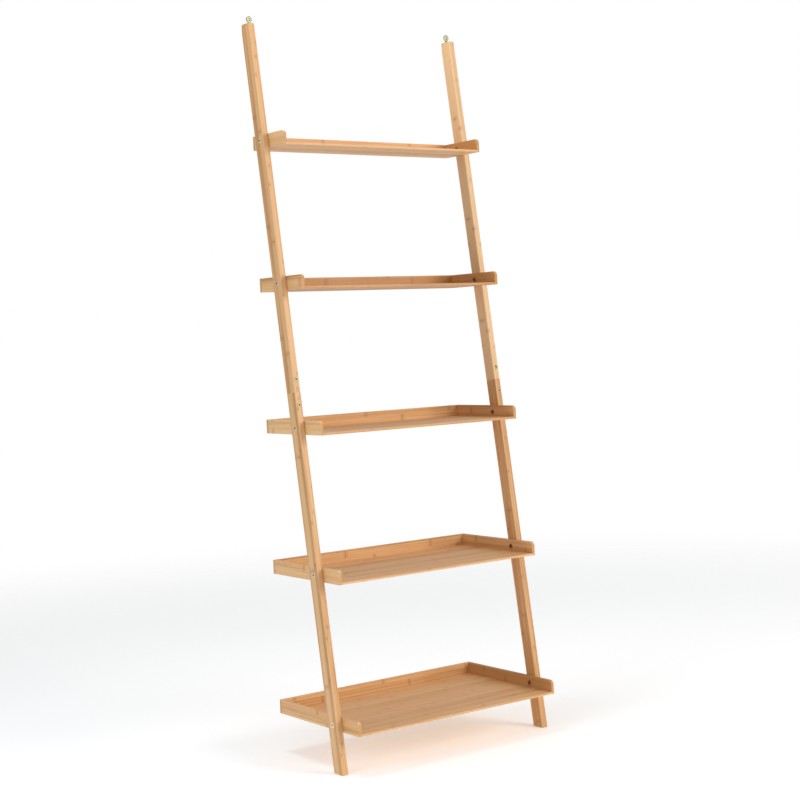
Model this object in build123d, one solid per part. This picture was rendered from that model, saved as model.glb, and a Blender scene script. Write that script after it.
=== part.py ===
# Leaning bamboo ladder shelf: two raked side rails, each in two spliced halves, and five open-fronted
# trays bolted between them. The trays get shallower towards the top, so that all their backs meet the wall.
#
# Frame: +Z up, +X to the viewer's right, +Y towards the wall. The origin is on the floor, at the middle of
# the shelf's footprint. All sizes are in millimetres.
import os
from math import cos, radians, tan

from build123d import *

# ---- overall ----
overall_width = 630.0          # outside to outside of the rails
overall_height = 1780.0        # floor to the top of the rails
rail_lean = 8.3                # degrees from the vertical, towards the wall

# ---- rails ----
rail_thickness = 17.0          # along X
rail_depth = 36.0              # square to the rail, front face to rear face
rail_edge_radius = 2.5         # eased long edges
wall_flat_height = 33.0        # vertical cut at the top of the rear face, which lies on the wall
splice_end_chamfer = 0.5       # eased ends of the two halves where they butt together
foot_chamfer = 1.0             # eased edges of the level cut at the floor

# ---- trays ----
tray_count = 5
lowest_bolt_height = 113.0     # floor to the lowest tray's bolts
top_bolt_drop = 287.0          # top of the rails down to the top tray's bolts
tray_overhang = 66.0           # how far a tray stands in front of the rail, level with its bolts
side_thickness = 8.0
side_height = 34.0
side_corner_radius = 11.0      # rounded top front corner of a side board
board_edge_radius = 1.2        # eased top edges of side and back boards
back_thickness = 8.0
back_height = 34.0
panel_thickness = 5.5
rabbet_depth = 3.0             # how far a panel enters its side and back boards
panel_edge_radius = 0.8        # eased front edges of a panel
bolt_height_in_side = 17.0     # bottom of a side board to the bolt
joint_clearance = 0.1          # all round in every bored hole and rabbet

# ---- tray bolts and sleeve nuts ----
bolt_shank_diameter = 6.0
bolt_head_diameter = 12.5
bolt_head_thickness = 2.4
bolt_head_recess = 2.0         # depth of the counterbore in the rail
bolt_socket_across_flats = 4.0
bolt_socket_depth = 1.8
bolt_end_gap = 1.5             # bolt end to the closed end of the sleeve nut
sleeve_diameter = 8.0
sleeve_depth_in_rail = 6.0     # how far the sleeve passes the side board into the rail
sleeve_flange_diameter = 12.0
sleeve_flange_thickness = 1.4
sleeve_socket_across_flats = 5.0
sleeve_socket_depth = 3.0
sleeve_web = 1.0               # metal between the socket and the threaded hole

# ---- dowels ----
locating_dowel_diameter = 6.0
locating_dowel_length = 14.0
locating_dowel_offset = 10.5   # behind the bolt
locating_dowel_in_side = 5.0   # depth in the side board
dowel_end_gap = 0.5            # spare depth at each end of a dowel
corner_dowel_diameter = 4.0
corner_dowel_length = 16.0
corner_dowel_in_back = 5.0     # depth in the back board
corner_dowel_edge_distance = 8.0   # from the top and from the panel to the two dowels

# ---- rail splices ----
splice_above_middle_tray = 82.6    # level height over the middle tray's bolts
splice_rod_diameter = 9.0
splice_rod_length = 100.0
splice_screw_spacing = 62.0    # one screw each side of the splice
splice_screw_diameter = 5.0
splice_screw_length = 22.0     # under the head
splice_screw_end_gap = 0.5     # spare depth past the end of the screw
splice_head_diameter = 11.0
splice_head_thickness = 2.4
splice_head_recess = 2.0
splice_socket_across_flats = 4.0
splice_socket_depth = 1.8

# ---- wall-tie eyes ----
eye_outer_diameter = 16.0
eye_hole_diameter = 4.5
eye_thickness = 3.0
eye_edge_radius = 0.9
eye_inboard = 4.0              # towards the middle of the shelf from the rail's centre line
eye_setback = 17.0             # behind the rail's front edge, on its top
eye_collar_diameter = 8.0
eye_collar_height = 2.0
eye_neck_diameter = 5.5
eye_neck_height = 2.5          # from the collar to where the round eye meets the neck
eye_in_neck = 0.8              # how far the round eye sinks into the neck
eye_shank_diameter = 4.0
eye_shank_length = 24.0
eye_pilot_depth = 26.0

# ---- worked out from the sizes above ----
lean_rise = tan(radians(rail_lean))                  # run towards the wall for each unit of height
rail_run = rail_depth / cos(radians(rail_lean))      # rail depth measured level
tray_width = overall_width - 2 * rail_thickness
inner_width = tray_width - 2 * side_thickness
tray_pitch = (overall_height - top_bolt_drop - lowest_bolt_height) / (tray_count - 1)
bolt_heights = [lowest_bolt_height + tray_pitch * index for index in range(tray_count)]
splice_height = bolt_heights[tray_count // 2] + splice_above_middle_tray
lower_rail_length = splice_height / cos(radians(rail_lean))   # along the rail, from the floor
top_contact_height = overall_height - wall_flat_height
foot_to_wall = top_contact_height * lean_rise + rail_run
overall_depth = foot_to_wall - lowest_bolt_height * lean_rise + tray_overhang
wall_y = overall_depth / 2
foot_front_y = wall_y - foot_to_wall
rail_centre_x = (overall_width - rail_thickness) / 2
side_centre_x = (tray_width - side_thickness) / 2
sides = {"left": -1, "right": 1}                     # sign of X


def rail_front_y(height):
    """Front face of the rails at a height."""
    return foot_front_y + height * lean_rise


def rail_middle_y(height):
    """Centre line of the rails at a height."""
    return rail_front_y(height) + rail_run / 2


def block(x_range, y_range, z_range):
    """Box between two values on each axis."""
    size = [high - low for low, high in (x_range, y_range, z_range)]
    corner = [low for low, high in (x_range, y_range, z_range)]
    return Pos(*corner) * Box(*size, align=(Align.MIN, Align.MIN, Align.MIN))


def rod_along_x(start_x, end_x, y, z, diameter):
    """Cylinder that lies along X between two places."""
    plane = Plane(origin=(start_x, y, z), x_dir=(0, 1, 0), z_dir=(1, 0, 0))
    return extrude(plane * Circle(diameter / 2), end_x - start_x)


def hexagon_along_x(start_x, end_x, y, z, across_flats):
    """Six-sided bar that lies along X between two places."""
    plane = Plane(origin=(start_x, y, z), x_dir=(0, 1, 0), z_dir=(1, 0, 0))
    across_corners = across_flats / cos(radians(30))
    return extrude(plane * RegularPolygon(across_corners / 2, 6), end_x - start_x)


def rod_along_y(x, start_y, end_y, z, diameter):
    """Cylinder that lies along Y between two places."""
    plane = Plane(origin=(x, start_y, z), x_dir=(1, 0, 0), z_dir=(0, 1, 0))
    return extrude(plane * Circle(diameter / 2), end_y - start_y)


def rail_plane(side, distance=0.0):
    """Plane across a rail, square to it, at a distance up its centre line from the floor."""
    lean = Plane(
        origin=(sides[side] * rail_centre_x, rail_middle_y(0), 0),
        x_dir=(1, 0, 0),
        z_dir=(0, lean_rise, 1),
    )
    return lean.offset(distance)


def screw_plane(side, distance):
    """Plane on a rail's front face, facing out of it, at a distance up the rail."""
    across = rail_plane(side, distance)
    on_face = (across * Pos(0, -rail_depth / 2, 0)).position
    return Plane(origin=on_face, x_dir=(1, 0, 0), z_dir=-across.y_dir)


def splice_distances():
    """Places of the two splice screws up the rail."""
    return [lower_rail_length - splice_screw_spacing / 2, lower_rail_length + splice_screw_spacing / 2]


def rail_blank(side):
    """Whole rail: an eased bar along the lean, cut level at the floor and top and plumb at the wall."""
    section = RectangleRounded(rail_thickness, rail_depth, rail_edge_radius)
    reach = overall_height / cos(radians(rail_lean)) + 2 * rail_depth
    bar = extrude(rail_plane(side, -rail_depth) * section, reach)
    half_width = overall_width / 2 + rail_thickness
    room = block((-half_width, half_width), (-overall_depth, wall_y), (0, overall_height))
    return bar & room


def rail_holes(side):
    """Everything that is bored out of a rail."""
    sign = sides[side]
    outer_x = sign * overall_width / 2
    inner_x = sign * (overall_width / 2 - rail_thickness)
    holes = []
    for height in bolt_heights:
        middle = rail_middle_y(height)
        spot = (middle, height)
        holes.append(rod_along_x(inner_x, outer_x, *spot, bolt_shank_diameter + 2 * joint_clearance))
        recess_x = outer_x - sign * bolt_head_recess
        holes.append(rod_along_x(recess_x, outer_x, *spot, bolt_head_diameter + 2 * joint_clearance))
        sleeve_end = inner_x + sign * (sleeve_depth_in_rail + joint_clearance)
        holes.append(rod_along_x(inner_x, sleeve_end, *spot, sleeve_diameter + 2 * joint_clearance))
        dowel_depth = locating_dowel_length - locating_dowel_in_side + dowel_end_gap
        dowel_end = inner_x + sign * dowel_depth
        dowel_spot = (middle + locating_dowel_offset, height)
        dowel_bore = locating_dowel_diameter + 2 * joint_clearance
        holes.append(rod_along_x(inner_x, dowel_end, *dowel_spot, dowel_bore))
    rod_bore = Circle(splice_rod_diameter / 2 + joint_clearance)
    bore_length = splice_rod_length + 2 * joint_clearance
    holes.append(extrude(rail_plane(side, lower_rail_length - bore_length / 2) * rod_bore, bore_length))
    for distance in splice_distances():
        face = screw_plane(side, distance)
        recess = Circle(splice_head_diameter / 2 + joint_clearance)
        holes.append(extrude(face * recess, -splice_head_recess))
        shank_bore = Circle(splice_screw_diameter / 2 + joint_clearance)
        bore_depth = splice_head_recess + splice_screw_length + splice_screw_end_gap
        holes.append(extrude(face * shank_bore, -bore_depth))
    eye_x, eye_y = eye_place(side)
    pilot = Circle(eye_shank_diameter / 2 + joint_clearance)
    holes.append(extrude(Plane(origin=(eye_x, eye_y, overall_height)) * pilot, -eye_pilot_depth))
    return holes


def ease_end(face, size):
    """The solid that a face belongs to, with that face's outline chamfered."""
    return chamfer(face.outer_wire().edges(), size)


def make_rails():
    """Four rail halves: each is eased at its ends before its holes are bored."""
    made = {}
    for side in sides:
        splice = rail_plane(side, lower_rail_length)
        blank = rail_blank(side)
        holes = rail_holes(side)
        upper = split(blank, bisect_by=splice, keep=Keep.TOP)
        upper = ease_end(upper.faces().sort_by(Axis.Z)[0], splice_end_chamfer)
        lower = split(blank, bisect_by=splice, keep=Keep.BOTTOM)
        lower = ease_end(lower.faces().sort_by(Axis.Z)[-1], splice_end_chamfer)
        lower = ease_end(lower.faces().sort_by(Axis.Z)[0], foot_chamfer)
        made[f"{side}_rail_upper"] = upper - holes
        made[f"{side}_rail_lower"] = lower - holes
    return made


def tray_bottom(height):
    """Underside of the tray whose bolts are at a height."""
    return height - bolt_height_in_side


def tray_front_y(height):
    """Front edge of the tray whose bolts are at a height."""
    return rail_front_y(height) - tray_overhang


def panel_rabbet(height, slack):
    """Space that a panel fills, with slack on the edges that enter the boards and over its top."""
    half = inner_width / 2 + rabbet_depth + slack
    bottom = tray_bottom(height)
    rear = wall_y - back_thickness + rabbet_depth + slack
    return block((-half, half), (tray_front_y(height), rear), (bottom, bottom + panel_thickness + slack))


def make_panel(height):
    """Flat bottom of a tray, with eased front edges."""
    panel = panel_rabbet(height, 0)
    front_edges = panel.edges().filter_by(Axis.X).group_by(Axis.Y)[0]
    return fillet(front_edges, panel_edge_radius)


def corner_dowel_heights(height):
    """Two dowels at each rear corner of a tray."""
    bottom = tray_bottom(height)
    lower = bottom + panel_thickness + corner_dowel_edge_distance
    upper = bottom + min(side_height, back_height) - corner_dowel_edge_distance
    return [lower, upper]


def make_side_board(side, height):
    """Upright end board of a tray: rounded top front corner, rabbet for the panel, bolt and dowel holes."""
    sign = sides[side]
    middle = rail_middle_y(height)
    bottom = tray_bottom(height)
    top = bottom + side_height
    front = tray_front_y(height)
    outer_x = sign * tray_width / 2
    inner_x = sign * inner_width / 2
    x_range = sorted((inner_x, outer_x))
    board = block(x_range, (front, wall_y - back_thickness), (bottom, top))
    front_top_edge = board.edges().filter_by(Axis.X).group_by(Axis.Y)[0].sort_by(Axis.Z)[-1]
    board = fillet(front_top_edge, side_corner_radius)
    rear_end = board.faces().sort_by(Axis.Y)[-1]
    bottom_face = board.faces().sort_by(Axis.Z)[0]
    square_edges = rear_end.edges() + bottom_face.edges()
    eased = [edge for edge in board.edges().filter_by(Axis.X, reverse=True) if edge not in square_edges]
    board = fillet(eased, board_edge_radius)
    board -= panel_rabbet(height, joint_clearance)
    board -= rod_along_x(inner_x, outer_x, middle, height, sleeve_diameter + 2 * joint_clearance)
    dowel_end = outer_x - sign * (locating_dowel_in_side + dowel_end_gap)
    dowel_bore = locating_dowel_diameter + 2 * joint_clearance
    board -= rod_along_x(outer_x, dowel_end, middle + locating_dowel_offset, height, dowel_bore)
    rear = wall_y - back_thickness
    corner_bore = corner_dowel_diameter + 2 * joint_clearance
    corner_depth = corner_dowel_length - corner_dowel_in_back + dowel_end_gap
    for z in corner_dowel_heights(height):
        board -= rod_along_y(sign * side_centre_x, rear - corner_depth, rear, z, corner_bore)
    return board


def make_back_board(height):
    """Rear lip of a tray: it runs the whole width, behind the side boards, and lies on the wall."""
    bottom = tray_bottom(height)
    half = tray_width / 2
    front = wall_y - back_thickness
    board = block((-half, half), (front, wall_y), (bottom, bottom + back_height))
    top_edges = board.edges().filter_by(Axis.X).group_by(Axis.Z)[-1]
    board = fillet(top_edges, board_edge_radius)
    board -= panel_rabbet(height, joint_clearance)
    corner_bore = corner_dowel_diameter + 2 * joint_clearance
    for sign in sides.values():
        for z in corner_dowel_heights(height):
            bore_end = front + corner_dowel_in_back + dowel_end_gap
            board -= rod_along_y(sign * side_centre_x, front, bore_end, z, corner_bore)
    return board


def make_tray_bolt(side, height):
    """Socket bolt: thin round head in the rail's outer face, shank into the sleeve nut."""
    sign = sides[side]
    spot = (rail_middle_y(height), height)
    outer_x = sign * overall_width / 2
    seat_x = outer_x - sign * bolt_head_recess
    head_x = seat_x + sign * bolt_head_thickness
    end_x = sign * (inner_width / 2 + sleeve_closed_end() + bolt_end_gap)
    bolt = rod_along_x(seat_x, head_x, *spot, bolt_head_diameter)
    bolt += rod_along_x(seat_x, end_x, *spot, bolt_shank_diameter)
    socket_x = head_x - sign * bolt_socket_depth
    return bolt - hexagon_along_x(socket_x, head_x, *spot, bolt_socket_across_flats)


def sleeve_closed_end():
    """Distance from the side board's inner face to the end of the sleeve nut's threaded hole."""
    return sleeve_socket_depth + sleeve_web - sleeve_flange_thickness


def make_sleeve_nut(side, height):
    """Flanged sleeve with a blind threaded hole, pushed in from inside the tray."""
    sign = sides[side]
    spot = (rail_middle_y(height), height)
    face_x = sign * inner_width / 2
    flange_x = face_x - sign * sleeve_flange_thickness
    end_x = face_x + sign * (side_thickness + sleeve_depth_in_rail)
    nut = rod_along_x(flange_x, face_x, *spot, sleeve_flange_diameter)
    nut += rod_along_x(face_x, end_x, *spot, sleeve_diameter)
    thread_x = face_x + sign * sleeve_closed_end()
    nut -= rod_along_x(thread_x, end_x, *spot, bolt_shank_diameter + joint_clearance)
    socket_x = flange_x + sign * sleeve_socket_depth
    return nut - hexagon_along_x(flange_x, socket_x, *spot, sleeve_socket_across_flats)


def make_locating_dowel(side, height):
    """Wooden dowel between rail and side board, behind the bolt, which keeps the tray level."""
    sign = sides[side]
    start_x = sign * (tray_width / 2 - locating_dowel_in_side)
    spot = (rail_middle_y(height) + locating_dowel_offset, height)
    return rod_along_x(start_x, start_x + sign * locating_dowel_length, *spot, locating_dowel_diameter)


def make_corner_dowels(height):
    """Four small dowels that hold the back board to the side boards."""
    start_y = wall_y - back_thickness + corner_dowel_in_back
    made = []
    for sign in sides.values():
        for z in corner_dowel_heights(height):
            end_y = start_y - corner_dowel_length
            made.append(rod_along_y(sign * side_centre_x, start_y, end_y, z, corner_dowel_diameter))
    return made


def make_splice_rod(side):
    """Steel rod up the middle of a rail that joins its halves, with two tapped cross holes."""
    start = rail_plane(side, lower_rail_length - splice_rod_length / 2)
    rod = extrude(start * Circle(splice_rod_diameter / 2), splice_rod_length)
    for distance in splice_distances():
        cross_hole = Circle(splice_screw_diameter / 2 + joint_clearance)
        rod -= extrude(screw_plane(side, distance) * cross_hole, -rail_depth)
    return rod


def make_splice_screw(side, distance):
    """Socket screw from the rail's front face through the splice rod."""
    face = screw_plane(side, distance)
    seat = face.offset(-splice_head_recess)
    screw = extrude(seat * Circle(splice_head_diameter / 2), splice_head_thickness)
    screw += extrude(seat * Circle(splice_screw_diameter / 2), -splice_screw_length)
    head_top = seat.offset(splice_head_thickness)
    across_corners = splice_socket_across_flats / cos(radians(30))
    return screw - extrude(head_top * RegularPolygon(across_corners / 2, 6), -splice_socket_depth)


def eye_place(side):
    """Where a wall-tie eye stands on the top of its rail."""
    x = sides[side] * (rail_centre_x - eye_inboard)
    return x, rail_front_y(overall_height) + eye_setback


def make_wall_eye(side):
    """Flat round eye on a collar and a screw shank, which takes the cord or hook of a wall tie."""
    x, y = eye_place(side)
    neck_top = overall_height + eye_collar_height + eye_neck_height
    centre_z = neck_top - eye_in_neck + eye_outer_diameter / 2
    front = Plane(origin=(x, y - eye_thickness / 2, centre_z), x_dir=(1, 0, 0), z_dir=(0, 1, 0))
    eye = extrude(front * Circle(eye_outer_diameter / 2), eye_thickness)
    eye = fillet(eye.edges(), eye_edge_radius)
    base = Plane(origin=(x, y, overall_height))
    stem = extrude(base * Circle(eye_collar_diameter / 2), eye_collar_height)
    stem += extrude(base * Circle(eye_neck_diameter / 2), eye_collar_height + eye_neck_height)
    stem += extrude(base * Circle(eye_shank_diameter / 2), -eye_shank_length)
    return eye + stem - extrude(front * Circle(eye_hole_diameter / 2), eye_thickness)


def make_tray(number, height):
    """The pieces of one tray and what fastens it."""
    tray = f"tray_{number}"
    made = {f"{tray}_panel": make_panel(height), f"{tray}_back": make_back_board(height)}
    for side in sides:
        made[f"{tray}_{side}_side"] = make_side_board(side, height)
    made[f"{tray}_bolts"] = [make_tray_bolt(side, height) for side in sides]
    made[f"{tray}_sleeve_nuts"] = [make_sleeve_nut(side, height) for side in sides]
    made[f"{tray}_locating_dowels"] = [make_locating_dowel(side, height) for side in sides]
    made[f"{tray}_corner_dowels"] = make_corner_dowels(height)
    return made


def make_splices_and_eyes():
    """What joins the rail halves, and the eyes on the rail tops."""
    made = {}
    for side in sides:
        made[f"{side}_splice_rod"] = make_splice_rod(side)
        made[f"{side}_splice_screws"] = [make_splice_screw(side, spot) for spot in splice_distances()]
        made[f"{side}_wall_eye"] = make_wall_eye(side)
    return made


def main():
    pieces = make_rails()
    for number, height in enumerate(bolt_heights, start=1):
        pieces |= make_tray(number, height)
    pieces |= make_splices_and_eyes()
    os.makedirs("parts", exist_ok=True)
    for node, shape in pieces.items():
        solids = shape if isinstance(shape, list) else [shape]
        loose = [solid for piece in solids for solid in piece.solids()]
        whole = loose[0] if len(loose) == 1 else Compound(children=loose)
        export_step(whole, f"parts/{node}.step")
        print(f"{node}: {len(loose)} solid(s)")


main()
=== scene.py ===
# Leaning bamboo ladder shelf: looks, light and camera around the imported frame.
# Metres throughout. Z is up, X runs to the viewer's right, Y runs towards the wall.
import math

import bmesh
import bpy
import numpy as np
from mathutils import Matrix, Vector


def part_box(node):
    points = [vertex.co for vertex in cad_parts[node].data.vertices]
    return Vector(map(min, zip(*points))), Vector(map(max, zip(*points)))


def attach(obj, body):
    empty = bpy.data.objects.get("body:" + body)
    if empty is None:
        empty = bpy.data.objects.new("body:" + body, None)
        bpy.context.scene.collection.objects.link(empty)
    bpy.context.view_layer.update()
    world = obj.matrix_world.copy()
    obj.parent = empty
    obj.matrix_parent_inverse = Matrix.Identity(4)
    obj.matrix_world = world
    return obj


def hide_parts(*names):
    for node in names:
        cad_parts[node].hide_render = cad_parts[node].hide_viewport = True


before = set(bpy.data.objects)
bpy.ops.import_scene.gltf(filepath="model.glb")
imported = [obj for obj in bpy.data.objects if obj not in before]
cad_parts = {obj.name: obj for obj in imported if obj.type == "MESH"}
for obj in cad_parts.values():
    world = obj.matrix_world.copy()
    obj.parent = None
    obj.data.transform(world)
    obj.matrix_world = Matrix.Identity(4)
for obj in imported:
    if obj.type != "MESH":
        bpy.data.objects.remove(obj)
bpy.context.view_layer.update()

print("frame loaded:", len(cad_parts), "nodes")

# what every piece of the shelf shares
shelf = {
    "trays": 5,
    "lowestBolts": 0.113,      # floor to the lowest tray's bolts
    "pitch": 0.345,            # one tray's bolts to the next
    "lean": math.radians(8.3),
    "spliceAlong": 0.895,      # up the rail, from the floor to the splice
    "footFront": -0.120863,    # front of the rails at the floor
    "railDepth": 0.036,
}
# the rail's centre line at the floor, the way up it, and the way out of its front face
footMiddle = shelf["footFront"] + shelf["railDepth"] / math.cos(shelf["lean"]) / 2
railUp = Vector((0.0, math.sin(shelf["lean"]), math.cos(shelf["lean"])))
railOut = Vector((0.0, -math.cos(shelf["lean"]), math.sin(shelf["lean"])))


class Tree:
    # a thin wrapper that adds a material's nodes from left to right and wires them by socket

    def __init__(self, name):
        self.material = bpy.data.materials.new(name)
        self.material.use_nodes = True
        self.nodes = self.material.node_tree.nodes
        self.links = self.material.node_tree.links
        self.nodes.clear()
        self.count = 0

    def add(self, kind, **values):
        node = self.nodes.new(kind)
        node.location = (180 * (self.count % 12), -220 * (self.count // 12))
        self.count += 1
        for key, value in values.items():
            setattr(node, key, value)
        return node

    def feed(self, socket, value):
        if isinstance(value, bpy.types.NodeSocket):
            self.links.new(value, socket)
        else:
            socket.default_value = value

    def math(self, operation, first, second=0.0, third=0.0, clamp=False):
        node = self.add("ShaderNodeMath", operation=operation, use_clamp=clamp)
        for socket, value in zip(node.inputs, (first, second, third)):
            self.feed(socket, value)
        return node.outputs[0]

    def plus(self, *values):
        total = values[0]
        for value in values[1:]:
            total = self.math("ADD", total, value)
        return total

    def minus(self, first, second):
        return self.math("SUBTRACT", first, second)

    def times(self, first, second):
        return self.math("MULTIPLY", first, second)

    def over(self, first, second):
        return self.math("DIVIDE", first, second)

    def size(self, value):
        return self.math("ABSOLUTE", value)

    def fromMiddle(self, value):
        # how far the part after the decimal point is from one half
        return self.size(self.minus(self.math("FRACT", value), 0.5))

    def join(self, x, y, z):
        node = self.add("ShaderNodeCombineXYZ")
        for socket, value in zip(node.inputs, (x, y, z)):
            self.feed(socket, value)
        return node.outputs[0]

    def split(self, vector):
        node = self.add("ShaderNodeSeparateXYZ")
        self.feed(node.inputs[0], vector)
        return node.outputs[0], node.outputs[1], node.outputs[2]

    def turn(self, vector, angle, kind="POINT"):
        # turns a place or a normal about X
        node = self.add("ShaderNodeMapping", vector_type=kind)
        node.inputs["Rotation"].default_value = (angle, 0.0, 0.0)
        self.feed(node.inputs["Vector"], vector)
        return self.split(node.outputs[0])

    def noise(self, vector, scale=1.0, detail=2.0, roughness=0.5):
        node = self.add("ShaderNodeTexNoise")
        self.feed(node.inputs["Vector"], vector)
        node.inputs["Scale"].default_value = scale
        node.inputs["Detail"].default_value = detail
        node.inputs["Roughness"].default_value = roughness
        return node.outputs["Fac"]

    def blend(self, share, first, second):
        node = self.add("ShaderNodeMix", data_type="RGBA")
        self.feed(node.inputs[0], share)
        self.feed(node.inputs[6], first)
        self.feed(node.inputs[7], second)
        return node.outputs[2]

    def fade(self, value, low, high, start=0.0, end=1.0):
        # runs smoothly from start to end while the value goes from low to high
        node = self.add("ShaderNodeMapRange", interpolation_type="SMOOTHSTEP")
        self.feed(node.inputs[0], value)
        for socket, number in zip(list(node.inputs)[1:5], (low, high, start, end)):
            socket.default_value = number
        return node.outputs[0]

    def ramp(self, value, stops):
        # a colour ramp through three stops, each a place and a colour, lowest first
        node = self.add("ShaderNodeValToRGB")
        elements = node.color_ramp.elements
        elements[0].position, elements[0].color = stops[0]
        elements[1].position, elements[1].color = stops[2]
        elements.new(stops[1][0]).color = stops[1][1]
        self.feed(node.inputs[0], value)
        return node.outputs[0]

    def bump(self, height, distance, strength):
        node = self.add("ShaderNodeBump")
        node.inputs["Strength"].default_value = strength
        node.inputs["Distance"].default_value = distance
        self.feed(node.inputs["Height"], height)
        return node.outputs["Normal"]

    def finish(self, **sockets):
        shader = self.add("ShaderNodeBsdfPrincipled")
        output = self.add("ShaderNodeOutputMaterial")
        for name, value in sockets.items():
            self.feed(shader.inputs[name], value)
        self.links.new(shader.outputs[0], output.inputs[0])
        return self.material


# varnished bamboo, as colours, lengths in metres, and shares from 0 to 1
bambooLook = {
    "light": (0.80, 0.50, 0.252, 1.0),
    "middle": (0.70, 0.402, 0.181, 1.0),
    "dark": (0.49, 0.232, 0.076, 1.0),
    "knot": (0.33, 0.145, 0.055, 1.0),
    # lighter arrises: partly finish rubbed thin, partly a painted highlight
    "wornAndHighlit": (0.90, 0.64, 0.40, 1.0),
    # the right rail's upper half: partly a paler piece of bamboo, partly painted light
    "paleAndLit": (0.90, 0.70, 0.45, 1.0),
    "warm": (0.78, 0.42, 0.17, 1.0),
    "stops": (0.12, 0.48, 0.88),   # where dark, middle and light stand on the scale of tones
    "stripTone": 0.48,         # how far one strip's tone is from the next one's
    "slowTone": 0.42,
    "streakTone": 1.25,
    "fibreTone": 0.70,
    "warmShare": 0.25,
    "paleAndLitShare": 0.36,         # how far the right rail's upper half goes towards the pale colour, partly a paler piece and partly painted light
    "knotSpacing": 0.27,       # between the joints of one culm
    "knotWidth": 0.0045,
    "knotWander": 0.006,
    "knotBand": 0.30,
    "knotLine": 0.50,
    "panelMarks": 0.55,        # how much of a joint's mark is left on a sanded panel
    "fibreWidth": 0.0011,
    "fibreLength": 0.09,
    "streakWidth": 0.0042,
    "streakLength": 0.26,
    "slowWidth": 0.012,
    "slowLength": 0.35,
    "fleckShare": 0.34,
    "glueLine": 0.00035,
    "glueShare": 0.28,
    "wornAndHighlitShare": 0.38,
    "stripShift": 0.377,       # strips that a board's glue lines move for each step of its start
    "drawShift": 0.31,
    "apart": (0.173, 0.211),   # from one strip's noises to the next one's, across and through the board
    "grainShift": 1.7,
    "wanderDetail": 160.0,
    "fleckScale": 2.3,         # flecks to a fibre
    "flecksFrom": (0.60, 0.74),
    "bandReach": 2.2,          # in widths of a knot
    "lineReach": 0.35,
    "glueReach": 1.6,
    "endDots": 1100.0,         # fibre bundles to the metre on a cut end
    "endDark": 0.45,
    "endShare": 0.75,
    "gloss": 0.47,
    "glossSpread": 0.22,
    "endDull": 0.22,
    "grainDepth": 0.00018,
    "grainStrength": 0.7,
    "varnish": {"Specular IOR Level": 0.38, "Coat Weight": 0.08, "Coat Roughness": 0.28},
}

# each kind of board: the width and thickness of its strips, how far along the pattern each board starts, and
# how much lighter than the rest it is. The right-hand boards are darkened by painted shade, and the right
# rail's upper half is lightened, partly as a paler piece and partly as painted light.
boardLook = {
    "rail": {
        "strip": (0.018, 0.00567), "rightStart": 3.7, "upperStart": 1.9,
        "rightShade": 0.14,       # painted shade, taken off the right rail
        "upperTone": 0.24,       # given to its upper half: partly a paler piece of bamboo, partly painted light
    },
    "side": {
        "strip": (0.017, 0.008), "rightStart": 5.3, "trayStart": 2.7, "tone": 0.10,
        "rightShade": 0.50,       # painted shade, taken off the right sides
        "leftTrays": (0.0, 0.12, 0.06, -0.10, 0.22),     # lowest tray first
        "rightTrays": (-0.18, 0.20, 0.0, 0.0, 0.06),
    },
    "back": {
        "strip": (0.017, 0.008), "trayStart": 3.3,
        "trays": (0.08, 0.0, -0.06, -0.30, 0.0),
    },
    "panel": {
        "strip": (0.0195, 0.00275), "trayStart": 4.1, "tone": 0.05,
        "trays": (0.16, 0.18, -0.05, -0.38, 0.08),
    },
}


def trayTone(t, trayNumber, tones):
    # sum over the trays of that tray's tone, times 1 on that tray and 0 elsewhere
    total = 0.0
    for number, tone in enumerate(tones):
        here = t.math("COMPARE", trayNumber, float(number), 0.5)
        total = t.plus(total, t.times(here, tone))
    return total


def layBoard(t, kind, place):
    # Where a point lies on its board: across its strips, through its thickness and along its grain. With it
    # come the board's own start in the pattern, the normal's three shares, how far the face is a cut end, the
    # board's tone with its painted shade and painted light, and how far it goes to the pale colour, which is
    # partly a paler piece and partly painted light.
    look = boardLook[kind]
    x, y, z = t.split(place.outputs["Object"])
    normal = t.split(place.outputs["Normal"])
    tray = t.math("ROUND", t.over(t.minus(z, shelf["lowestBolts"]), shelf["pitch"]))
    rightSide = t.math("GREATER_THAN", x, 0.0)
    if kind == "rail":
        thick, across, grain = t.turn(place.outputs["Object"], shelf["lean"])
        splice = shelf["spliceAlong"] + footMiddle * math.sin(shelf["lean"])
        upper = t.math("GREATER_THAN", grain, splice)
        start = t.plus(t.times(rightSide, look["rightStart"]), t.times(upper, look["upperStart"]))
        # painted shade takes the whole right rail down; its upper half comes back up, partly as a paler piece
        # and partly as painted light
        tone = t.times(rightSide, t.minus(t.times(upper, look["upperTone"]), look["rightShade"]))
        leant = t.turn(place.outputs["Normal"], shelf["lean"], "NORMAL")
        # how far towards the pale colour: partly a paler piece, partly painted light
        paleAndLit = t.times(t.times(rightSide, upper), bambooLook["paleAndLitShare"])
        return across, thick, grain, start, leant, t.size(normal[2]), tone, paleAndLit
    if kind == "side":
        start = t.plus(t.times(rightSide, look["rightStart"]), t.times(tray, look["trayStart"]))
        left = t.times(t.minus(1.0, rightSide), trayTone(t, tray, look["leftTrays"]))
        # painted shade takes the right-hand sides down
        right = t.times(rightSide, t.minus(trayTone(t, tray, look["rightTrays"]), look["rightShade"]))
        tone = t.plus(left, right, look["tone"])
        return z, x, y, start, normal, t.size(normal[1]), tone, 0.0
    start = t.times(tray, look["trayStart"])
    tone = trayTone(t, tray, look["trays"])
    if kind == "back":
        return z, y, x, start, normal, t.size(normal[0]), tone, 0.0
    return y, z, x, start, normal, t.size(normal[0]), t.plus(tone, look["tone"]), 0.0


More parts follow.
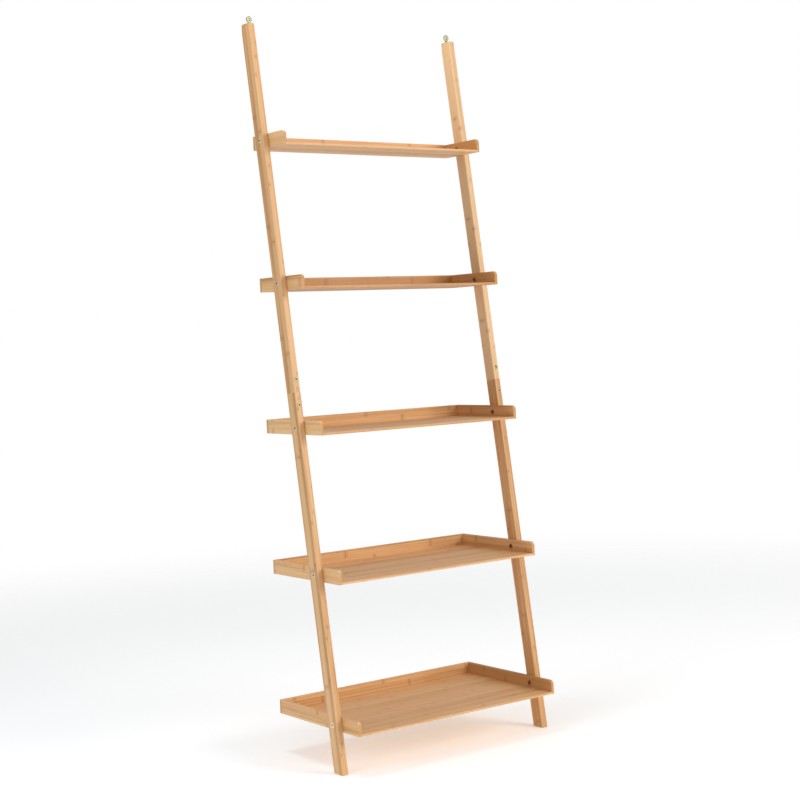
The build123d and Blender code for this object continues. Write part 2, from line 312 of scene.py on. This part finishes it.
def bambooFinish(name, kind):
    # Strip number = whole part of across / strip width and of thick / strip thickness. Each strip draws its own
    # tone and its own place for its knots. Fibres are noise stretched along the grain.
    look = bambooLook
    t = Tree(name)
    place = t.add("ShaderNodeTexCoord")
    across, thick, grain, start, normal, ends, boardToneAndLight, paleAndLit = layBoard(t, kind, place)
    stripWidth, stripThick = boardLook[kind]["strip"]
    acrossStrips = t.plus(t.over(across, stripWidth), t.times(start, look["stripShift"]))
    thickStrips = t.plus(t.over(thick, stripThick), 0.5)
    strip, layer = t.math("FLOOR", acrossStrips), t.math("FLOOR", thickStrips)
    draw = t.add("ShaderNodeTexWhiteNoise", noise_dimensions="3D")
    t.feed(draw.inputs["Vector"], t.join(strip, layer, t.plus(start, look["drawShift"])))
    tone, shift, warmth = t.split(draw.outputs["Color"])

    # every strip reads its noises from a place of its own, so no streak crosses a glue line
    apart = t.plus(t.times(strip, look["apart"][0]), t.times(layer, look["apart"][1]))
    grainStart = t.plus(grain, t.times(start, look["grainShift"]))

    def stretched(width, length):
        # across and through the board in widths, and along its grain in lengths
        wide, deep = t.over(t.plus(across, apart), width), t.over(t.plus(thick, apart), width)
        return t.join(wide, deep, t.over(grainStart, length))

    fibreSpot = stretched(look["fibreWidth"], look["fibreLength"])
    fibres = t.noise(fibreSpot, 1.0, 3.0, 0.6)
    flecks = t.noise(fibreSpot, look["fleckScale"], 2.0, 0.5)
    slow = t.noise(stretched(look["slowWidth"], look["slowLength"]), 1.0, 2.0)
    streaks = t.noise(stretched(look["streakWidth"], look["streakLength"]), 1.0, 3.0)

    # a knot stands in the middle of each spacing, with a slightly wandering edge
    edge = t.noise(t.join(across, thick, grain), look["wanderDetail"], 2.0)
    wander = t.times(t.minus(edge, 0.5), look["knotWander"])
    period = t.over(t.plus(grainStart, wander), look["knotSpacing"])
    fromKnot = t.times(t.fromMiddle(t.plus(period, shift)), look["knotSpacing"])
    knotBand = t.fade(fromKnot, 0.0, look["knotWidth"] * look["bandReach"], 1.0, 0.0)
    knotLine = t.fade(fromKnot, 0.0, look["knotWidth"] * look["lineReach"], 1.0, 0.0)

    # tone = strip's draw + slow change + board's tone (with its painted shade and painted light) + streaks +
    # fibres, each times its own weight
    mixAt = t.plus(t.times(tone, look["stripTone"]), t.times(slow, look["slowTone"]), boardToneAndLight)
    mixAt = t.plus(mixAt, t.times(t.minus(streaks, 0.5), look["streakTone"]))
    mixAt = t.math("ADD", mixAt, t.times(t.minus(fibres, 0.5), look["fibreTone"]), clamp=True)
    colour = t.ramp(mixAt, tuple(zip(look["stops"], (look["dark"], look["middle"], look["light"]))))
    colour = t.blend(t.times(warmth, look["warmShare"]), colour, look["warm"])
    if kind == "rail":
        # the right rail's upper half goes paler, partly as a paler piece and partly as painted light
        colour = t.blend(paleAndLit, colour, look["paleAndLit"])
    darkFlecks = t.fade(flecks, *look["flecksFrom"], 0.0, look["fleckShare"])
    colour = t.blend(darkFlecks, colour, look["knot"])
    marked = look["panelMarks"] if kind == "panel" else 1.0
    colour = t.blend(t.times(knotBand, look["knotBand"] * marked), colour, look["knot"])
    colour = t.blend(t.times(knotLine, look["knotLine"] * marked), colour, look["knot"])

    # glue line: the shorter way to a strip's edge, across it or through it
    edgeAcross = t.times(t.minus(0.5, t.fromMiddle(acrossStrips)), stripWidth)
    edgeThick = t.times(t.minus(0.5, t.fromMiddle(thickStrips)), stripThick)
    nearGlue = t.math("MINIMUM", edgeAcross, edgeThick)
    glue = t.fade(nearGlue, 0.0, look["glueLine"] * look["glueReach"], 1.0, 0.0)
    colour = t.blend(t.times(glue, look["glueShare"]), colour, look["knot"])

    # rounded arrises: the normal leans away from every face, and there the colour goes lighter, partly as
    # finish rubbed thin and partly as a painted highlight where light catches the round
    widest = t.math("MAXIMUM", t.math("MAXIMUM", t.size(normal[0]), t.size(normal[1])), t.size(normal[2]))
    wornAndHighlit = t.times(t.fade(widest, 0.76, 0.985, 1.0, 0.0), t.fade(slow, 0.25, 0.65, 0.35, 1.0))
    colour = t.blend(t.times(wornAndHighlit, look["wornAndHighlitShare"]), colour, look["wornAndHighlit"])

    # end grain: the cut ends show the fibre bundles as dots, and drink more finish
    cutEnd = t.fade(ends, 0.70, 0.95)
    dots = t.add("ShaderNodeTexVoronoi")
    t.feed(dots.inputs["Vector"], t.join(across, thick, 0.0))
    dots.inputs["Scale"].default_value = look["endDots"]
    endColour = t.blend(t.fade(dots.outputs["Distance"], 0.15, 0.55), look["knot"], look["middle"])
    endColour = t.blend(look["endDark"], endColour, look["dark"])
    colour = t.blend(t.times(cutEnd, look["endShare"]), colour, endColour)

    rough = t.plus(look["gloss"], t.times(t.minus(fibres, 0.5), look["glossSpread"]))
    rough = t.math("ADD", rough, t.times(cutEnd, look["endDull"]), clamp=True)
    # relief: fibres stand up, flecks and glue lines lie low, and knots stand highest
    height = t.minus(t.minus(fibres, t.times(darkFlecks, 1.2)), t.times(glue, 0.8))
    height = t.plus(height, t.times(knotBand, 0.5))
    relief = t.bump(height, look["grainDepth"], look["grainStrength"])
    return t.finish(**{"Base Color": colour, "Roughness": rough, "Normal": relief, **look["varnish"]})


# plated metals: the bright and the dull of the plating, its gloss, and the radius of the socket, or 0, inside
# which the colour goes dark, partly grease and bare metal and partly painted shade
metalLook = {
    "bolt": {
        "bright": (1.0, 0.84, 0.62, 1.0), "dull": (0.74, 0.56, 0.38, 1.0),
        "gloss": 0.26, "socket": 0.0028,
    },
    "sleeve": {
        "bright": (0.42, 0.25, 0.13, 1.0), "dull": (0.19, 0.10, 0.05, 1.0),
        "gloss": 0.36, "socket": 0.0027,
    },
    "screw": {
        "bright": (0.46, 0.37, 0.20, 1.0), "dull": (0.19, 0.15, 0.08, 1.0),
        "gloss": 0.38, "socket": 0.0022,
    },
    "eye": {
        "bright": (0.36, 0.36, 0.22, 1.0), "dull": (0.13, 0.15, 0.09, 1.0),
        "gloss": 0.30, "socket": 0.0,
    },
    "rod": {
        "bright": (0.62, 0.62, 0.60, 1.0), "dull": (0.34, 0.34, 0.33, 1.0),
        "gloss": 0.30, "socket": 0.0,
    },
    # the socket's inside: partly grease and bare metal, partly painted shade of the recess
    "socketDirtAndShade": (0.035, 0.026, 0.018, 1.0),
    "latheStep": 0.00022,      # between the marks of a lathe tool
}


def turnedMetal(name, kind):
    # Fine lathe marks follow the distance from the piece's own axis, over a cloudy plating. Inside a socket the
    # colour goes near black, partly grease and bare metal and partly painted shade. The eyes and the rods have
    # neither.
    look = metalLook[kind]
    t = Tree(name)
    place = t.add("ShaderNodeTexCoord").outputs["Object"]
    cloud = t.noise(place, 420.0, 4.0, 0.6)
    speck = t.noise(place, 2600.0, 2.0, 0.5)
    colour = t.blend(t.times(t.fade(cloud, 0.32, 0.70), 0.75), look["bright"], look["dull"])
    colour = t.blend(t.fade(speck, 0.60, 0.75, 0.0, 0.5), colour, look["dull"])
    rough = t.plus(look["gloss"], t.times(cloud, 0.22))
    height = t.times(speck, 0.35)
    if look["socket"]:
        fromAxis = t.add("ShaderNodeAttribute", attribute_name="turning").outputs["Fac"]
        # painted shade in the socket's recess, together with some grease and bare metal
        inSocket = t.fade(fromAxis, look["socket"] * 0.92, look["socket"] * 1.04, 0.85, 0.0)
        colour = t.blend(inSocket, colour, metalLook["socketDirtAndShade"])
        wave = t.math("SINE", t.times(fromAxis, 2 * math.pi / metalLook["latheStep"]))
        height = t.plus(height, t.times(wave, 0.4))
        rough = t.plus(rough, t.times(wave, 0.05))
    relief = t.bump(height, 0.00004, 0.6)
    return t.finish(**{"Base Color": colour, "Metallic": 1.0, "Roughness": rough, "Normal": relief})


dowelLook = {
    "light": (0.78, 0.56, 0.36, 1.0), "dark": (0.66, 0.43, 0.25, 1.0), "pore": (0.42, 0.24, 0.12, 1.0),
    "dull": 0.62, "poreDepth": 0.0001,
}


def dowelFinish(name):
    # pale beech: short dark pores over a slow change of tone
    look = dowelLook
    t = Tree(name)
    place = t.add("ShaderNodeTexCoord").outputs["Object"]
    slow = t.noise(place, 90.0, 3.0)
    pores = t.noise(place, 1500.0, 2.0)
    colour = t.blend(slow, look["light"], look["dark"])
    colour = t.blend(t.fade(pores, 0.58, 0.70, 0.0, 0.5), colour, look["pore"])
    rough = t.plus(look["dull"], t.times(pores, 0.2))
    relief = t.bump(pores, look["poreDepth"], 0.6)
    return t.finish(**{"Base Color": colour, "Roughness": rough, "Normal": relief})


boltMetal = turnedMetal("boltMetal", "bolt")
sleeveMetal = turnedMetal("sleeveMetal", "sleeve")
screwMetal = turnedMetal("screwMetal", "screw")
eyeMetal = turnedMetal("eyeMetal", "eye")

# the CAD pieces that keep their own mesh, by a part of their name
woodAndRods = {
    "_rail_": bambooFinish("railBamboo", "rail"),
    "_side": bambooFinish("sideBamboo", "side"),
    "_back": bambooFinish("backBamboo", "back"),
    "_panel": bambooFinish("panelBamboo", "panel"),
    "_dowels": dowelFinish("dowelWood"),
    "_rod": turnedMetal("rodSteel", "rod"),
}
for node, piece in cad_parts.items():
    for part, material in woodAndRods.items():
        if part in node:
            for slot in piece.material_slots:
                slot.material = material
print("wood and metal finishes made")


turned = {"segments": 48, "crease": math.radians(32), "roundSteps": 6}


def axes(direction):
    # the given direction, and two directions square to it
    along = Vector(direction).normalized()
    helper = Vector((0, 0, 1)) if abs(along.z) < 0.9 else Vector((0, 1, 0))
    first = along.cross(helper).normalized()
    return np.array(along), np.array(first), np.array(along.cross(first))


def turnedSurface(rings, origin, direction):
    # A row of rings carried along an axis. Each ring is (place along the axis, radius, share of hexagon). The
    # radius at an angle is radius * (1 - share + share / cos(angle mod 60 - 30 degrees)). The first and last
    # rings close on one point each.
    along, first, second = axes(direction)
    angles = np.linspace(0, 2 * math.pi, turned["segments"], endpoint=False)
    rings = np.array(rings, dtype=float)
    body = rings[1:-1]
    hexagon = 1 / np.cos(np.mod(angles, math.pi / 3) - math.pi / 6)
    radius = body[:, 1:2] * (1 - body[:, 2:3] + body[:, 2:3] * hexagon[None, :])
    spokes = np.cos(angles)[:, None] * first + np.sin(angles)[:, None] * second
    grid = np.array(origin) + body[:, None, 0:1] * along + radius[:, :, None] * spokes[None, :, :]
    poles = np.array(origin) + rings[[0, -1], 0][:, None] * along
    points = np.concatenate([grid.reshape(-1, 3), poles])
    rows, columns = radius.shape
    index = np.arange(rows * columns).reshape(rows, columns)
    after = np.roll(index, -1, axis=1)
    quads = np.stack([index[:-1], index[1:], after[1:], after[:-1]], axis=-1).reshape(-1, 4)
    firstFan = np.stack([np.full(columns, rows * columns), index[0], after[0]], axis=-1)
    lastFan = np.stack([np.full(columns, rows * columns + 1), after[-1], index[-1]], axis=-1)
    fromAxis = np.concatenate([radius.ravel(), [0.0, 0.0]])
    return points, quads, np.concatenate([firstFan, lastFan]), fromAxis


def makePiece(name, surfaces, material, node):
    # joins closed surfaces into one mesh, in place, and hands it to the frame
    points, faces, fromAxis, start = [], [], [], 0
    for surfacePoints, quads, fans, surfaceFromAxis in surfaces:
        points.append(surfacePoints)
        fromAxis.append(surfaceFromAxis)
        faces += (quads + start).tolist() + (fans + start).tolist()
        start += len(surfacePoints)
    mesh = bpy.data.meshes.new(name)
    mesh.from_pydata(np.concatenate(points).tolist(), [], faces)
    turning = mesh.attributes.new("turning", "FLOAT", "POINT")
    turning.data.foreach_set("value", np.concatenate(fromAxis).astype(np.float32))
    mesh.materials.append(material)
    mesh.validate()
    piece = bpy.data.objects.new(name, mesh)
    bpy.context.scene.collection.objects.link(piece)
    outwards(mesh)
    mesh.shade_smooth()
    mesh.set_sharp_from_angle(angle=turned["crease"])
    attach(piece, "root")
    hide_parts(node)


def outwards(mesh):
    # turns every face of a closed mesh to look outwards
    work = bmesh.new()
    work.from_mesh(mesh)
    bmesh.ops.recalc_face_normals(work, faces=work.faces)
    work.to_mesh(mesh)
    work.free()


def middleOf(node):
    # half the sum of the low and high corners of a node's box
    low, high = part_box(node)
    return [(a + b) / 2 for a, b in zip(low, high)]


# tray bolts and splice screws. A mouth is the edge of the hexagon socket, row by row: how far under the top,
# the radius as a share of the socket's, and the share of hexagon
socketMouth = ((0.00022, 1.0, 1.0), (0.00004, 1.10, 0.85), (0.0, 1.30, 0.15), (0.00002, 1.6, 0.0))
bolt = {
    "head": 0.00625, "headThick": 0.0024, "rim": 0.0006, "socket": 0.0020, "socketDeep": 0.0018,
    "shank": 0.0030, "length": 0.0215, "thread": 0.00028, "threadPitch": 0.0010,
}
spliceScrew = {
    "head": 0.0055, "headThick": 0.0024, "rim": 0.0006, "socket": 0.0020, "socketDeep": 0.0018,
    "shank": 0.0025, "length": 0.022, "thread": 0.00025, "threadPitch": 0.0008, "recess": 0.0020,
    "spacing": 0.062,
}


def threadRings(look):
    # a plain neck, then crests and roots one pitch apart, then a pointed end, from 0 down to the length
    radius, depth, pitch, end = look["shank"], look["thread"], look["threadPitch"], -look["length"]
    rings = [(0.0, radius, 0.0)]
    for k in range(int((look["length"] - 0.004) / pitch)):
        at = -(0.003 + k * pitch)
        rings += [(at, radius, 0.0), (at - pitch / 2, radius - depth, 0.0)]
    return rings + [(end + 0.0006, radius - depth, 0.0), (end, radius - 2 * depth, 0.0), (end, 0.0, 0.0)]


def screwRings(look):
    # from the middle of the socket floor, up its six walls, over the low dome, round the rim by a quarter
    # circle and under the head, then down the thread. Places are measured from the underside, outwards.
    radius, thick, rim, socket = look["head"], look["headThick"], look["rim"], look["socket"]
    floor = thick - look["socketDeep"]
    rings = [(floor - 0.0003, 0.0, 0.0), (floor, socket * 0.97, 1.0)]
    rings += [(thick - under, socket * share, hexagon) for under, share, hexagon in socketMouth]
    rings += [(thick - 0.00008, radius - rim * 1.5, 0.0)]
    for s in np.linspace(0, math.pi / 2, turned["roundSteps"]):
        rings += [(thick - 0.00012 - rim + rim * math.cos(s), radius - rim + rim * math.sin(s), 0.0)]
    return rings + [(0.0002, radius, 0.0), (0.0, radius - 0.0002, 0.0)] + threadRings(look)


# the bolts' sleeve nuts, whose flanges lie on the side boards' inner faces
sleeveMouth = ((0.00022, 1.0, 1.0), (0.00004, 1.08, 0.85), (0.0, 1.25, 0.1))
sleeve = {
    "flange": 0.0060, "flangeThick": 0.0014, "rim": 0.0005, "socket": 0.0025, "socketDeep": 0.0030,
    "barrel": 0.0040, "bore": 0.00305, "web": 0.0010,
    "grooves": 6, "groovePitch": 0.0012, "grooveDeep": 0.00015,
}


def sleeveRings(length):
    # from the socket floor out over the flange, along the grooved barrel to its open end, and back down the
    # bore. Places are measured from the flange's face, into the wood.
    look = sleeve
    flange, rim, thick = look["flange"], look["rim"], look["flangeThick"]
    socket, deep, barrel, bore = look["socket"], look["socketDeep"], look["barrel"], look["bore"]
    rings = [(deep, 0.0, 0.0), (deep - 0.0002, socket * 0.97, 1.0)]
    rings += [(under, socket * share, hexagon) for under, share, hexagon in sleeveMouth]
    for s in np.linspace(0, math.pi / 2, turned["roundSteps"]):
        rings += [(rim - rim * math.cos(s), flange - rim + rim * math.sin(s), 0.0)]
    rings += [(thick - 0.0001, flange, 0.0), (thick, flange - 0.0001, 0.0), (thick, barrel, 0.0)]
    for k in range(look["grooves"]):
        at = thick + 0.002 + k * look["groovePitch"]
        rings += [(at, barrel, 0.0), (at + 0.0003, barrel - look["grooveDeep"], 0.0)]
        rings += [(at + 0.0006, barrel, 0.0)]
    rings += [(length - 0.0004, barrel, 0.0), (length, barrel - 0.0004, 0.0), (length, bore, 0.0)]
    return rings + [(deep + look["web"], bore, 0.0), (deep + look["web"], 0.0, 0.0)]


for number in range(1, shelf["trays"] + 1):
    node = f"tray_{number}_bolts"
    _, y, z = middleOf(node)
    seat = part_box(node)[1][0] - bolt["headThick"]
    surfaces = [turnedSurface(screwRings(bolt), (sign * seat, y, z), (sign, 0, 0)) for sign in (-1, 1)]
    makePiece(f"tray_{number}_socket_bolts", surfaces, boltMetal, node)

    node = f"tray_{number}_sleeve_nuts"
    _, y, z = middleOf(node)
    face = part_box(f"tray_{number}_right_side")[0][0] - sleeve["flangeThick"]
    rings = sleeveRings(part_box(node)[1][0] - face)
    surfaces = [turnedSurface(rings, (sign * face, y, z), (sign, 0, 0)) for sign in (-1, 1)]
    makePiece(f"tray_{number}_flanged_sleeves", surfaces, sleeveMetal, node)
print("tray bolts and sleeves made")

for side in ("left", "right"):
    node = f"{side}_splice_screws"
    x = middleOf(node)[0]
    surfaces = []
    for step in (-0.5, 0.5):
        away = railUp * (shelf["spliceAlong"] + step * spliceScrew["spacing"])
        away += railOut * (shelf["railDepth"] / 2 - spliceScrew["recess"])
        seat = Vector((x, footMiddle, 0.0)) + away
        surfaces.append(turnedSurface(screwRings(spliceScrew), tuple(seat), tuple(railOut)))
    makePiece(f"{side}_splice_socket_screws", surfaces, screwMetal, node)
print("splice screws made")


# the round eyes on top of the rails, each on a collar with a screw below it
eye = {
    "radius": 0.008, "hole": 0.00225, "thick": 0.003, "squareness": 3.2, "around": 64, "section": 40,
    "neckTop": 0.0022, "neck": 0.00275, "neckHeight": 0.0025, "collar": 0.004, "collarHeight": 0.002,
    "shank": 0.002, "length": 0.024, "thread": 0.0003, "threadPitch": 0.0014,
}


def eyeSurface(centre, across):
    # A section carried round a circle. The section is a squared circle: along the eye's axis it reaches half
    # the thickness times |cos|^power, and across it half the metal's width times |sin|^power, both with the
    # sign of the cosine or sine, where power is 2 over the squareness.
    along, first, second = axes(across)
    angles = np.linspace(0, 2 * math.pi, eye["around"], endpoint=False)
    turns = np.linspace(0, 2 * math.pi, eye["section"], endpoint=False)
    power = 2 / eye["squareness"]
    radius, metal = (eye["radius"] + eye["hole"]) / 2, (eye["radius"] - eye["hole"]) / 2
    width = eye["thick"] / 2 * np.sign(np.cos(turns)) * np.abs(np.cos(turns)) ** power
    depth = metal * np.sign(np.sin(turns)) * np.abs(np.sin(turns)) ** power
    spokes = np.cos(angles)[:, None] * first + np.sin(angles)[:, None] * second
    reach = (radius + depth)[None, :, None] * spokes[:, None, :]
    grid = np.array(centre) + reach + width[None, :, None] * along
    index = np.arange(grid.size // 3).reshape(len(angles), len(turns))
    down, right = np.roll(index, -1, axis=0), np.roll(index, -1, axis=1)
    corner = np.roll(down, -1, axis=1)
    quads = np.stack([index, right, corner, down], axis=-1).reshape(-1, 4)
    return grid.reshape(-1, 3), quads, np.zeros((0, 3), int), np.tile(radius + depth, len(angles))


def collarRings():
    # from the neck's top down its flare, over the collar's rounded edge to its underside, then down the screw
    top, neck, collar = eye["collarHeight"], eye["neck"], eye["collar"]
    rings = [(top + eye["neckHeight"], 0.0, 0.0), (top + eye["neckHeight"], eye["neckTop"], 0.0)]
    rings += [(top + 0.001, neck, 0.0), (top + 0.0003, neck + 0.0003, 0.0), (top, neck + 0.001, 0.0)]
    rings += [(top, collar - 0.0006, 0.0), (top - 0.0003, collar - 0.0001, 0.0)]
    return rings + [(0.0003, collar, 0.0), (0.0, collar - 0.0003, 0.0)] + threadRings(eye)


for side in ("left", "right"):
    node = f"{side}_wall_eye"
    x, y, _ = middleOf(node)
    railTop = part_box(f"{side}_rail_upper")[1][2]
    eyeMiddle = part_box(node)[1][2] - eye["radius"]
    surfaces = [eyeSurface((x, y, eyeMiddle), (0, 1, 0))]
    surfaces.append(turnedSurface(collarRings(), (x, y, railTop), (0, 0, 1)))
    makePiece(f"{side}_wall_tie_eye", surfaces, eyeMetal, node)
print("wall-tie eyes made")


floorLook = {
    "colour": (0.90, 0.935, 0.98, 1.0), "dull": 0.9, "glow": 0.26, "below": 0.0002,
    "solidTo": 1.6, "goneBy": 4.2, "middle": 0.05, "radius": 6.0, "rings": 24, "spokes": 64,
}


def makeFloor():
    # a disc of rings round the shelf: x = radius * cos, y = radius * sin. Its edge melts into the surround.
    look = floorLook
    radii = np.linspace(look["middle"], look["radius"], look["rings"])
    angles = np.linspace(0, 2 * math.pi, look["spokes"], endpoint=False)
    grid = np.zeros((look["rings"], look["spokes"], 3))
    grid[..., 0] = radii[:, None] * np.cos(angles)
    grid[..., 1] = radii[:, None] * np.sin(angles)
    grid[..., 2] = -look["below"]
    index = np.arange(look["rings"] * look["spokes"]).reshape(look["rings"], look["spokes"])
    after = np.roll(index, -1, axis=1)
    quads = np.stack([index[:-1], index[1:], after[1:], after[:-1]], axis=-1).reshape(-1, 4)
    mesh = bpy.data.meshes.new("floor")
    mesh.from_pydata(grid.reshape(-1, 3).tolist(), [], quads.tolist() + [index[0][::-1].tolist()])
    floor = bpy.data.objects.new("floor", mesh)
    bpy.context.scene.collection.objects.link(floor)
    t = Tree("paleFloor")
    x, y, _ = t.split(t.add("ShaderNodeTexCoord").outputs["Object"])
    far = t.math("SQRT", t.plus(t.times(x, x), t.times(y, y)))
    mesh.materials.append(t.finish(**{
        "Base Color": look["colour"],
        "Roughness": look["dull"],
        "Emission Color": (1.0, 1.0, 1.0, 1.0),
        "Emission Strength": look["glow"],
        "Alpha": t.fade(far, look["solidTo"], look["goneBy"], 1.0, 0.0),
    }))


light = {
    "surround": 0.55,
    "surroundTint": (1.0, 0.975, 0.945, 1.0),
    "backdrop": 1.0,
    # name, place, power, size, tint, aim
    "lamps": (
        ("key", (1.7, -3.4, 1.9), 76.0, 2.0, (1.0, 0.95, 0.875), (0.0, 0.0, 0.9)),
        ("top", (-0.5, 0.2, 2.7), 12.5, 0.8, (1.0, 0.98, 0.94), (0.2, 0.1, 1.4)),
        ("left", (-1.7, -0.3, 0.8), 6.2, 1.0, (0.66, 0.87, 1.0), (-0.2, 0.0, 0.9)),
    ),
}


def makeLight():
    # a soft even surround that is seen as plain white, and three round soft lamps
    world = bpy.data.worlds.new("surround")
    world.use_nodes = True
    nodes, links = world.node_tree.nodes, world.node_tree.links
    nodes.clear()
    glow = nodes.new("ShaderNodeBackground")
    glow.inputs["Color"].default_value = light["surroundTint"]
    glow.inputs["Strength"].default_value = light["surround"]
    seen = nodes.new("ShaderNodeBackground")
    seen.inputs["Color"].default_value = (1.0, 1.0, 1.0, 1.0)
    seen.inputs["Strength"].default_value = light["backdrop"]
    path = nodes.new("ShaderNodeLightPath")
    mix = nodes.new("ShaderNodeMixShader")
    output = nodes.new("ShaderNodeOutputWorld")
    links.new(path.outputs["Is Camera Ray"], mix.inputs[0])
    links.new(glow.outputs[0], mix.inputs[1])
    links.new(seen.outputs[0], mix.inputs[2])
    links.new(mix.outputs[0], output.inputs[0])
    bpy.context.scene.world = world
    for name, spot, power, size, tint, target in light["lamps"]:
        lamp = bpy.data.lights.new(name, "AREA")
        lamp.energy = power
        lamp.shape = "DISK"
        lamp.size = size
        lamp.color = tint
        holder = bpy.data.objects.new(name, lamp)
        holder.visible_camera = False
        aim = Vector(target) - Vector(spot)
        holder.matrix_world = Matrix.Translation(spot) @ aim.to_track_quat("-Z", "Y").to_matrix().to_4x4()
        bpy.context.scene.collection.objects.link(holder)


camera = {
    "place": (-2.32022, -3.15903, 1.00519),
    "heading": math.radians(36.148),    # from +Y towards +X
    "tilt": math.radians(-1.595),
    "roll": math.radians(-2.595),
    "lens": 71.393,
    "sensor": 36.0,
    "shift": (0.0, -0.0225),
    "farthest": 60.0,
}


def makeCamera():
    # forward from heading and tilt, then right and up turned by the roll about it
    heading, tilt, roll = camera["heading"], camera["tilt"], camera["roll"]
    forward = Vector((
        math.sin(heading) * math.cos(tilt), math.cos(heading) * math.cos(tilt), math.sin(tilt)
    ))
    level = Vector((math.cos(heading), -math.sin(heading), 0.0))
    upright = level.cross(forward)
    right = level * math.cos(roll) + upright * math.sin(roll)
    up = upright * math.cos(roll) - level * math.sin(roll)
    lens = bpy.data.cameras.new("camera")
    lens.lens = camera["lens"]
    lens.sensor_width = camera["sensor"]
    lens.shift_x, lens.shift_y = camera["shift"]
    lens.clip_end = camera["farthest"]
    holder = bpy.data.objects.new("camera", lens)
    turn = Matrix((right, up, -forward)).transposed().to_4x4()
    holder.matrix_world = Matrix.Translation(camera["place"]) @ turn
    bpy.context.scene.collection.objects.link(holder)
    bpy.context.scene.camera = holder


makeFloor()
makeLight()
makeCamera()
bpy.context.scene.view_settings.view_transform = "Standard"
print("floor, light and camera made")
